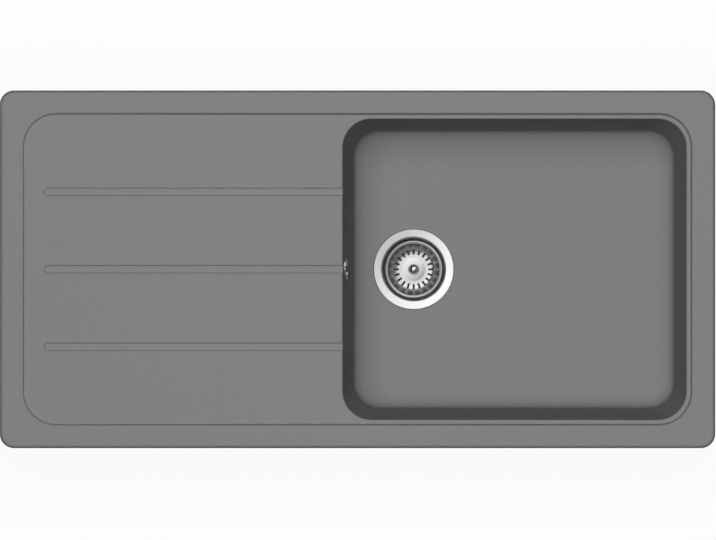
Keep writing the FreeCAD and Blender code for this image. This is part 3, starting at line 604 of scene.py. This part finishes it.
def rounded_profile(corners: list[tuple[float, float, float]], steps: int) -> np.ndarray:
    """Rounds the corners of a closed flat outline.

    A corner with radius r is an arc that touches both of its sides, at r / tan(half the corner's
    angle) from the corner. A radius of 0 keeps the corner sharp.

    Args:
        corners: Each corner's two coordinates and its radius.
        steps: How many points an arc has.

    Returns:
        The outline's points, as rows of two.
    """
    outline = []
    places = np.array([corner[:2] for corner in corners])
    for index, (_, _, radius) in enumerate(corners):
        here = places[index]
        if radius <= 0:
            outline.append(here[None])
            continue
        to_last = places[index - 1] - here
        to_next = places[(index + 1) % len(places)] - here
        to_last /= np.linalg.norm(to_last)
        to_next /= np.linalg.norm(to_next)
        half = math.acos(float(to_last @ to_next)) / 2
        bisector = (to_last + to_next) / np.linalg.norm(to_last + to_next)
        centre = here + bisector * radius / math.sin(half)
        start = here + to_last * radius / math.tan(half) - centre
        end = here + to_next * radius / math.tan(half) - centre
        turn = math.atan2(start[0] * end[1] - start[1] * end[0], float(start @ end))
        angle = math.atan2(start[1], start[0]) + np.linspace(0, turn, steps)
        outline.append(centre + radius * np.stack([np.cos(angle), np.sin(angle)], axis=1))
    return np.vstack(outline)


# ---- the sub-assemblies ----


@dataclass
class MouldedBody:
    """The moulded sink and the foam strip under its rim.

    Attributes:
        composite: The finish of the sink.
        foam: The finish of the strip.
        seal_width: The strip's width.
        seal_outer_radius: The radius of the strip's outside corners.
        seal_round: The rounding of its lower edges.
        seal_sink: How far the strip's middle is drawn in where it is squeezed.
        arc_steps: The points of each rounding of the strip's section.
        corner_steps: The points of each corner of the strip's run.
    """

    composite: StoneComposite
    foam: MouldedSkin
    seal_width: float = 5.8 * MM
    seal_outer_radius: float = 16.9 * MM
    seal_round: float = 0.6 * MM
    seal_sink: float = 0.25 * MM
    arc_steps: int = 5
    corner_steps: int = 13

    def seal_surface(self) -> Surface:
        """Works out the strip: a crowned section carried round the rim.

        The run is a rectangle with round corners, given by its point and its outward direction at each
        step. A point of the section goes inwards from the run by its first number and up by its second.

        Returns:
            The strip's surface.
        """
        box = Box.of("rim_seal")
        half_length, half_width = box.high.x, box.high.y
        thick = box.high.z - box.low.z
        radius = self.seal_outer_radius
        quarter = np.linspace(0, math.pi / 2, self.corner_steps)
        angle = np.concatenate([quarter + k * math.pi / 2 for k in range(4)])
        outward = np.stack([np.cos(angle), np.sin(angle)], axis=1)
        corner = np.repeat([[1, 1], [-1, 1], [-1, -1], [1, -1]], self.corner_steps, axis=0)
        centre = corner * [half_length - radius, half_width - radius]
        run = centre + radius * outward
        section = rounded_profile(
            [(0, 0, self.seal_round), (self.seal_width / 2, self.seal_sink, 0),
             (self.seal_width, 0, self.seal_round), (self.seal_width, thick, 0), (0, thick, 0)],
            self.arc_steps)
        flat = run[None] - section[:, None, :1] * outward[None]
        height = np.broadcast_to(box.low.z + section[:, None, 1:], flat.shape[:2] + (1,))
        return Surface(np.concatenate([flat, height], axis=2), Ends.LOOP)

    def build(self) -> None:
        """Dresses the sink and makes the strip."""
        dress(["sink_body"], self.composite.build())
        make_piece("foam_strip", [self.seal_surface()], self.foam.build(), "sink", "rim_seal")


@dataclass
class StrainerWaste:
    """The strainer waste: a brushed dish, a lift-out basket with a polished knob, and a plastic cup.

    Attributes:
        steel: The finish of the dish.
        basket_steel: The finish of the basket, the post and the hollow screw.
        polished: The finish of the knob.
        rubber: The finish of the gaskets and the stopper.
        plastic: The finish of the cup.
        brass: The finish of the threaded insert in the cup's hub.
    """

    steel: TurnedMetal
    basket_steel: TurnedMetal
    polished: PlatedMetal
    rubber: MouldedSkin
    plastic: MouldedSkin
    brass: TurnedMetal

    def build(self) -> None:
        """Dresses the waste's nodes."""
        dress(["strainer_flange"], self.steel.build())
        dress(["strainer_basket", "basket_post", "strainer_screw"], self.basket_steel.build())
        dress(["basket_knob"], self.polished.build())
        dress(["flange_gasket", "waste_gasket", "basket_seal", "post_ring"], self.rubber.build())
        dress(["waste_body", "outlet_connector"], self.plastic.build())
        dress(["waste_insert"], self.brass.build())


@dataclass
class Overflow:
    """The overflow: a rosette on the bowl's wall, an elbow, a pipe and two ribbed slip nuts.

    Attributes:
        rosette_steel: The finish of the rosette.
        screw_steel: The finish of its screw.
        rubber: The finish of the gasket and the cone seals.
        plastic: The finish of the elbow and the pipe.
        nut_plastic: The finish of the slip nuts.
        nut_radius: A slip nut's radius over its ribs.
        nut_bore: The radius of its threaded mouth.
        nut_eye: The radius of the hole in its collar.
        nut_collar: The thickness of its collar.
        nut_edge: The rounding of its outer edges.
        nut_bore_edge: The rounding of its inner edges.
        rib_count: How many grip ribs it has.
        rib_depth: How deep the grooves between them are.
        nut_thread_pitch: The pitch of the thread in its mouth.
        nut_thread_depth: The depth of that thread.
        edge_steps: The points of each of those roundings.
        wall_rows: The rows along the nut's outer and inner walls.
        nut_columns: The columns round a nut.
    """

    rosette_steel: TurnedMetal
    screw_steel: PlatedMetal
    rubber: MouldedSkin
    plastic: MouldedSkin
    nut_plastic: MouldedSkin
    nut_radius: float = 16.4 * MM
    nut_bore: float = 13.3 * MM
    nut_eye: float = 10.3 * MM
    nut_collar: float = 2.4 * MM
    nut_edge: float = 1.2 * MM
    nut_bore_edge: float = 0.4 * MM
    rib_count: int = 20
    rib_depth: float = 1.1 * MM
    nut_thread_pitch: float = 2.3 * MM
    nut_thread_depth: float = 0.5 * MM
    edge_steps: int = 6
    wall_rows: int = 36
    nut_columns: int = 160

    def nut_surface(self, node: str, axis: Axis) -> Surface:
        """Works out a slip nut: a closed section carried round, with ribs outside and a thread inside.

        The ribs take rib_depth * (0.5 - 0.5 cos(rib_count * angle)) ** 2 off the outer wall, and fade
        out at its edges. The thread adds a ridge inside that climbs one pitch in each turn.

        Args:
            node: The node that the nut stands for.
            axis: The axis that it goes round; its mouth looks along it.

        Returns:
            The nut's surface.
        """
        box = Box.of(node)
        length = box.high[axis.value] - box.low[axis.value]
        walls = rounded_profile(
            [(self.nut_eye, 0, self.nut_bore_edge), (self.nut_radius, 0, self.nut_edge),
             (self.nut_radius, length, self.nut_edge), (self.nut_bore, length, self.nut_bore_edge),
             (self.nut_bore, self.nut_collar, 0), (self.nut_eye, self.nut_collar, 0)],
            self.edge_steps)
        section = self.with_rows(walls)
        angle = ring_angles(self.nut_columns)
        radius, height = section[:, :1], section[:, 1:]
        outside = np.clip((radius - self.nut_radius + self.nut_edge) / self.nut_edge, 0, 1)
        from_ends = np.minimum(height, length - height) - self.nut_edge
        inner_wall = np.abs(radius - self.nut_bore) < SAME_PLACE
        fade = outside * np.clip(from_ends / self.nut_edge + 0.5, 0, 1)
        ribs = self.rib_depth * fade * (0.5 - 0.5 * np.cos(self.rib_count * angle)) ** 2
        phase = FULL_TURN * height / self.nut_thread_pitch - angle
        inside_fade = inner_wall * np.clip(from_ends / self.nut_edge, 0, 1)
        thread = self.nut_thread_depth * inside_fade * (0.5 + 0.5 * np.cos(phase)) ** 2
        reach = radius - ribs - thread
        ring = [reach * np.cos(angle), reach * np.sin(angle)]
        along = np.broadcast_to(box.low[axis.value] + height, reach.shape)
        middle = box.middle
        if axis is Axis.Z:
            points = [ring[0] + middle.x, ring[1] + middle.y, along]
        else:
            points = [along, ring[0] + middle.y, ring[1] + middle.z]
        return Surface(np.stack(points, axis=2), Ends.LOOP)

    def with_rows(self, outline: np.ndarray) -> np.ndarray:
        """Adds evenly spaced rows on an outline's long sides, which the ribs and the thread need.

        Args:
            outline: The closed outline, as rows of two.

        Returns:
            The outline, with no upright side longer than a row.
        """
        longest = (outline[:, 1].max() - outline[:, 1].min()) / self.wall_rows
        following = np.roll(outline, -1, axis=0)
        counts = np.ceil(np.linalg.norm(following - outline, axis=1) / longest).astype(int)
        leaning = np.abs(following[:, 0] - outline[:, 0]) > SAME_PLACE
        counts = np.where(leaning, 1, np.maximum(counts, 1))
        start = np.repeat(outline, counts, axis=0)
        end = np.repeat(following, counts, axis=0)
        first = np.repeat(np.cumsum(counts) - counts, counts)
        share = (np.arange(counts.sum()) - first) / np.repeat(counts, counts)
        return start + (end - start) * share[:, None]

    def build(self) -> None:
        """Dresses the overflow's nodes and makes the slip nuts."""
        dress(["overflow_rosette"], self.rosette_steel.build())
        dress(["overflow_screw"], self.screw_steel.build())
        dress(["overflow_gasket", "overflow_seal_top", "overflow_seal_bottom"], self.rubber.build())
        dress(["overflow_elbow", "overflow_pipe"], self.plastic.build())
        nut_finish = self.nut_plastic.build()
        for end, axis in (("top", Axis.Z), ("bottom", Axis.X)):
            node = f"overflow_nut_{end}"
            surface = self.nut_surface(node, axis)
            make_piece(f"ribbed_nut_{end}", [surface], nut_finish, "sink", node)


@dataclass
class WorktopClamps:
    """The clamps: a plastic plug, a threaded screw with a cross recess, and a bent steel arm.

    Attributes:
        zinc: The finish of the screws and the arms.
        plug: The finish of the plugs.
        shank_radius: The radius over the thread.
        thread_pitch: The pitch of the thread.
        thread_depth: The depth of the thread.
        ridge_slope: How steep the ridge's sides are, in depths per pitch.
        ridge_peak: The height of the V that its sides would meet in, in depths; it is cut off at 1.
        tip_inset: How far inside the thread's crest the tip's chamfer ends, in depths.
        rows_per_turn: The rows in one pitch.
        shank_columns: The columns round the shank.
        head_radius: The radius of the head.
        head_height: Its height.
        head_edge: The rounding of its face.
        head_chamfer: The chamfer of its back.
        face_hole: How far from the middle its face's last row lies; a fan closes it.
        recess_width: The width of an arm of the cross.
        recess_length: The length of the cross from tip to tip.
        recess_depth: Its depth.
        recess_wall: How far its walls lean in.
        edge_rows: The rows round the head's edge.
        face_rows: The rows across the head's face.
        head_columns: The columns round the head.
        sunk: How far the shank's end lies inside the head.
    """

    zinc: PlatedMetal
    plug: MouldedSkin
    shank_radius: float = 2.0 * MM
    thread_pitch: float = 0.7 * MM
    thread_depth: float = 0.38 * MM
    ridge_slope: float = 3.2
    ridge_peak: float = 1.3
    tip_inset: float = 1.3
    rows_per_turn: int = 8
    shank_columns: int = 24
    head_radius: float = 4.2 * MM
    head_height: float = 2.6 * MM
    head_edge: float = 1.4 * MM
    head_chamfer: float = 0.2 * MM
    face_hole: float = 0.1 * MM
    recess_width: float = 1.1 * MM
    recess_length: float = 4.8 * MM
    recess_depth: float = 1.5 * MM
    recess_wall: float = 0.35 * MM
    edge_rows: int = 8
    face_rows: int = 30
    head_columns: int = 96
    sunk: float = 0.3 * MM

    def shank_surface(self, box: Box) -> Surface:
        """Works out the threaded shank.

        Its radius is the root's plus thread_depth * ridge, where the ridge is a blunt V of the place
        within a pitch, and that place moves one pitch along in each turn. The tip is chamfered.

        Args:
            box: The screw's box.

        Returns:
            The shank's surface.
        """
        low = box.low.z + self.head_height - self.sunk
        turns = (box.high.z - low) / self.thread_pitch
        height = np.linspace(low, box.high.z, int(turns * self.rows_per_turn) + 1)[:, None]
        angle = ring_angles(self.shank_columns)[None]
        place = np.mod(height / self.thread_pitch - angle / FULL_TURN, 1)
        ridge = np.clip(self.ridge_peak - self.ridge_slope * np.abs(place - 0.5), 0, 1)
        radius = self.shank_radius - self.thread_depth * (1 - ridge)
        tip_radius = self.shank_radius - self.thread_depth * self.tip_inset
        radius = np.minimum(radius, tip_radius + (box.high.z - height))
        middle = box.middle
        points = [middle.x + radius * np.cos(angle), middle.y + radius * np.sin(angle),
                  np.broadcast_to(height, radius.shape)]
        return Surface(np.stack(points, axis=2), Ends.POLES)

    def head_surface(self, box: Box) -> Surface:
        """Works out the head: a rounded disc with a cross recess in its lower face.

        The recess is recess_depth deep where a point lies in either arm of the cross. An arm is the
        product of two ramps, one across it and one along it, each as wide as the wall leans in.

        Args:
            box: The screw's box.

        Returns:
            The head's surface.
        """
        low, high = box.low.z, box.low.z + self.head_height
        inner = self.head_radius - self.head_edge
        back = np.array([[self.shank_radius / 2, high], [self.head_radius - self.head_chamfer, high],
                         [self.head_radius, high - self.head_chamfer]])
        lean = np.linspace(0, math.pi / 2, self.edge_rows)
        edge = np.stack([inner + self.head_edge * np.cos(lean),
                         low + self.head_edge - self.head_edge * np.sin(lean)], axis=1)
        face = np.linspace(inner, self.face_hole, self.face_rows)[1:]
        face = np.stack([face, np.full(len(face), low)], axis=1)
        section = np.vstack([back, edge, face])
        angle = ring_angles(self.head_columns)[None]
        across, along = section[:, :1] * np.cos(angle), section[:, :1] * np.sin(angle)
        height = np.broadcast_to(section[:, 1:], across.shape)

        def ramp(place: np.ndarray, half: float) -> np.ndarray:
            """1 within half of the middle, 0 beyond it by the lean of the wall."""
            return np.clip((half - np.abs(place)) / self.recess_wall + 1, 0, 1)

        half_width, half_length = self.recess_width / 2, self.recess_length / 2 - self.recess_wall
        cross = np.maximum(ramp(across, half_width) * ramp(along, half_length),
                           ramp(along, half_width) * ramp(across, half_length))
        on_face = np.arange(len(section))[:, None] >= len(back)
        height = height + self.recess_depth * cross * on_face
        middle = box.middle
        return Surface(np.stack([middle.x + across, middle.y + along, height], axis=2), Ends.POLES)

    def build(self) -> None:
        """Dresses the plugs and the arms, and makes the screws."""
        stations = [name.removeprefix("clamp_screw_") for name in frame["bodies"]
                    if name.startswith("clamp_screw_")]
        dress([f"clamp_insert_{station}" for station in stations], self.plug.build())
        zinc = self.zinc.build()
        dress([f"clamp_arm_{station}" for station in stations], zinc)
        for station in stations:
            node = f"clamp_screw_{station}"
            box = Box.of(node)
            surfaces = [self.shank_surface(box), self.head_surface(box)]
            make_piece(f"threaded_screw_{station}", surfaces, zinc, node, node)


# ---- the studio ----


@dataclass
class Studio:
    """A white floor, one large soft lamp high overhead, faint light all round, and the camera.

    The photograph looks straight down from far off: both ends of the bowl show equally wide walls. One
    of its pixels is 1.3974 mm at the rim.

    Attributes:
        frame_width: The image's width in pixels.
        frame_height: Its height in pixels.
        pixel: The size of a pixel at the rim.
        sink_pixel: The pixel where the middle of the sink shows.
        lens: The focal length in millimetres, long because the camera is far off.
        sensor: The sensor's width in millimetres.
        floor_gap: How far the floor lies under the sink's lowest point.
        floor_half: Half the floor's side.
        floor_colour: The floor's colour.
        floor_shadow: How much of the floor shows its own light, and so the shadow on it.
        lamp_light: The lamp's light on the level rim below it, as a share of what a white one needs.
        fill_light: The same for the faint light from all round.
        lamp_height: How far the lamp hangs above the rim.
        lamp_back: How far it hangs behind the middle of the sink.
        lamp_angle: How wide it looks from the rim, in degrees.
        background: How bright the surroundings look to the camera; 1 is white.
        clip_range: How near and how far the camera sees, in its heights above the rim.
        mirror_dark: How bright metal mirrors the front right of the studio.
        mirror_bright: How bright it mirrors the back left.
        mirror_span: Where the one turns into the other: the slopes of a ray towards the back left.
    """

    frame_width: int = 716
    frame_height: int = 540
    pixel: float = 1.3974 * MM
    sink_pixel: tuple[float, float] = (357.5, 269.3)
    lens: float = 1200.0
    sensor: float = 36.0
    floor_gap: float = 2 * MM
    floor_half: float = 30.0
    floor_colour: str = "#f4f4f4"
    floor_shadow: float = 0.08
    lamp_light: float = 1.03
    fill_light: float = 0.005
    lamp_height: float = 3.5
    lamp_back: float = 0.27
    lamp_angle: float = 44.0
    background: float = 1.0
    clip_range: tuple[float, float] = (0.01, 3.0)
    mirror_dark: float = 0.2
    mirror_bright: float = 1.8
    mirror_span: tuple[float, float] = (-0.36, 0.12)

    def build_camera(self) -> None:
        """Sets the camera above the rim, so that the sink lies in the image as in the photograph."""
        rim = cad_box[1].z
        height = self.frame_width * self.pixel * self.lens / self.sensor
        middle = (self.frame_width / 2, self.frame_height / 2)
        right = (middle[0] - self.sink_pixel[0]) * self.pixel
        down = (middle[1] - self.sink_pixel[1]) * self.pixel
        data = bpy.data.cameras.new("camera")
        data.lens, data.sensor_width = self.lens, self.sensor
        data.clip_start, data.clip_end = (height * share for share in self.clip_range)
        camera = bpy.data.objects.new("camera", data)
        camera.location = (right, -down, rim + height)
        bpy.context.scene.collection.objects.link(camera)
        bpy.context.scene.camera = camera

    def build_lamp(self) -> None:
        """Hangs the lamp: a disk that faces down, near enough to light the bowl's floor less than the rim.

        A disk of this power lights a level surface under its middle by lamp_light: pi squared, times
        lamp_light, times the square of the distance from there to the disk's edge. Metal doesn't
        mirror the lamp itself, but the soft wash of light that the world draws.
        """
        radius = self.lamp_height * math.tan(math.radians(self.lamp_angle / 2))
        data = bpy.data.lights.new("overhead_lamp", "AREA")
        data.shape = "DISK"
        data.size = 2 * radius
        data.energy = math.pi ** 2 * self.lamp_light * (radius ** 2 + self.lamp_height ** 2)
        lamp = bpy.data.objects.new("overhead_lamp", data)
        lamp.visible_camera = lamp.visible_glossy = lamp.visible_transmission = False
        lamp.location = (0, self.lamp_back, cad_box[1].z + self.lamp_height)
        bpy.context.scene.collection.objects.link(lamp)

    def build_world(self) -> None:
        """Makes the world: white where it is seen, a wash of light in metal, and faint elsewhere.

        The wash grows with the ray's slope towards the back left, from dark to bright.
        """
        world = bpy.data.worlds.new("studio")
        world.use_nodes = True
        tree = world.node_tree
        tree.nodes.clear()
        path = add_node(tree, "LightPath")
        back_left = Vector((-1, 1, 0)).normalized()
        ray = add_node(tree, "TexCoord").outputs["Generated"]
        slope = add_node(tree, "VectorMath", {0: ray, 1: back_left}, operation="DOT_PRODUCT")
        start, end = self.mirror_span
        wash = {"Value": slope.outputs["Value"], "From Min": start, "From Max": end,
                "To Min": self.mirror_dark, "To Max": self.mirror_bright}
        mirrored = add_node(tree, "MapRange", wash).outputs["Result"]
        white = (1, 1, 1, 1)
        faint = add_node(tree, "Background", {"Color": white, "Strength": self.fill_light})
        glossy = add_node(tree, "Background", {"Color": white, "Strength": mirrored})
        seen = add_node(tree, "Background", {"Color": white, "Strength": self.background})
        lit = {0: path.outputs["Is Glossy Ray"], 1: faint.outputs[0], 2: glossy.outputs[0]}
        light = add_node(tree, "MixShader", lit)
        open_rays = {0: path.outputs["Is Camera Ray"], 1: path.outputs["Is Transmission Ray"]}
        plain = add_node(tree, "Math", open_rays, operation="MAXIMUM")
        direct = {0: plain.outputs[0], 1: light.outputs[0], 2: seen.outputs[0]}
        mix = add_node(tree, "MixShader", direct)
        add_node(tree, "OutputWorld", {"Surface": mix.outputs[0]})
        bpy.context.scene.world = world

    @staticmethod
    def seen_directly(tree: bpy.types.NodeTree) -> bpy.types.NodeSocket:
        """Whether a ray comes from the camera, or off metal or through glass.

        Args:
            tree: The tree that gets the nodes.

        Returns:
            1 for such a ray, else 0.
        """
        path = add_node(tree, "LightPath")
        mirror = add_node(tree, "Math", {0: path.outputs["Is Camera Ray"], 1: path.outputs["Is Glossy Ray"]},
                          operation="MAXIMUM")
        inputs = {0: mirror.outputs[0], 1: path.outputs["Is Transmission Ray"]}
        return add_node(tree, "Math", inputs, operation="MAXIMUM").outputs[0]

    def build_floor(self) -> None:
        """Lays the floor: white where it is seen, with a faint share of its own light and shadow.

        It is clear from below, so that the underside can be looked at.
        """
        material = bpy.data.materials.new("white_floor")
        material.use_nodes = True
        tree = material.node_tree
        tree.nodes.clear()
        paint = add_node(tree, "BsdfDiffuse", {"Color": linear(self.floor_colour)})
        white = add_node(tree, "Emission", {"Color": (1, 1, 1, 1), "Strength": self.background})
        seen = self.seen_directly(tree)
        share = add_node(tree, "Math", {0: seen, 1: 1 - self.floor_shadow}, operation="MULTIPLY")
        mix = add_node(tree, "MixShader", {0: share.outputs[0], 1: paint.outputs[0], 2: white.outputs[0]})
        below = add_node(tree, "NewGeometry").outputs["Backfacing"]
        camera = add_node(tree, "LightPath").outputs["Is Camera Ray"]
        from_below = add_node(tree, "Math", {0: below, 1: camera}, operation="MULTIPLY")
        clear = add_node(tree, "BsdfTransparent")
        inputs = {0: from_below.outputs[0], 1: mix.outputs[0], 2: clear.outputs[0]}
        either = add_node(tree, "MixShader", inputs)
        add_node(tree, "OutputMaterial", {"Surface": either.outputs[0]})
        half, level = self.floor_half, cad_box[0].z - self.floor_gap
        mesh = bpy.data.meshes.new("floor")
        corners = [(-half, -half, level), (half, -half, level), (half, half, level), (-half, half, level)]
        mesh.from_pydata(corners, [], [(0, 1, 2, 3)])
        mesh.materials.append(material)
        floor = bpy.data.objects.new("floor", mesh)
        bpy.context.scene.collection.objects.link(floor)

    def build(self) -> None:
        """Makes the camera, the lamp, the world and the floor."""
        self.build_camera()
        self.build_lamp()
        self.build_world()
        self.build_floor()
        bpy.context.scene.view_settings.view_transform = "Standard"
        log.info("the studio is set")


def main() -> None:
    """Dresses the sink, makes its fine pieces and sets the studio."""
    logging.basicConfig(level=logging.INFO, format="%(name)s: %(message)s")
    flange = Box.of("strainer_flange")
    waste_axis = tuple(flange.middle)
    brushed_depth = 2.2 * MM  # the flange's face is brushed, and the dish inside it is left as drawn
    rosette_axis = tuple(Box.of("overflow_rosette").middle)
    rubber = MouldedSkin("moulded_epdm_rubber", "#242425", 0.55, shade="#18181a")
    polypropylene = MouldedSkin("moulded_polypropylene", "#d4d4d0", 0.42, shade="#c6c6c2")
    dark_polypropylene = MouldedSkin("moulded_dark_polypropylene", "#38393b", 0.45, shade="#2b2c2e")
    zinc = PlatedMetal("zinc_plated_steel", "#c3c6ca", 0.32)
    polished = PlatedMetal("polished_stainless_steel", "#e0e0e1", 0.08, bloom="#d4d4d5", haze=0.04)
    Studio().build()
    MouldedBody(
        composite=StoneComposite("moulded_stone_composite", "#818183", 0.9),
        foam=MouldedSkin("closed_cell_foam", "#3c3c3e", 0.85, shade="#2a2a2c", grain=Grain.CELLS,
                         pitch=0.9 * MM, relief=0.12 * MM, gloss=0.25),
    ).build()
    StrainerWaste(
        steel=TurnedMetal("brushed_stainless_dish", "#dadadb", 0.3, shade="#cbcbcc", centre=waste_axis,
                          drawn_below=flange.high.z - brushed_depth),
        basket_steel=TurnedMetal("brushed_stainless_basket", "#c8c8c9", 0.26, shade="#bababb",
                                 centre=waste_axis),
        polished=polished,
        rubber=rubber,
        plastic=polypropylene,
        brass=TurnedMetal("turned_brass", "#d8b56a", 0.25, shade="#c39f55", centre=waste_axis),
    ).build()
    Overflow(
        rosette_steel=TurnedMetal("brushed_stainless_rosette", "#dadadb", 0.26, shade="#c6c6c7", axis=Axis.X,
                                  centre=rosette_axis),
        screw_steel=polished,
        rubber=rubber,
        plastic=polypropylene,
        nut_plastic=dark_polypropylene,
    ).build()
    WorktopClamps(zinc=zinc, plug=dark_polypropylene).build()


if __name__ == "__main__":
    main()
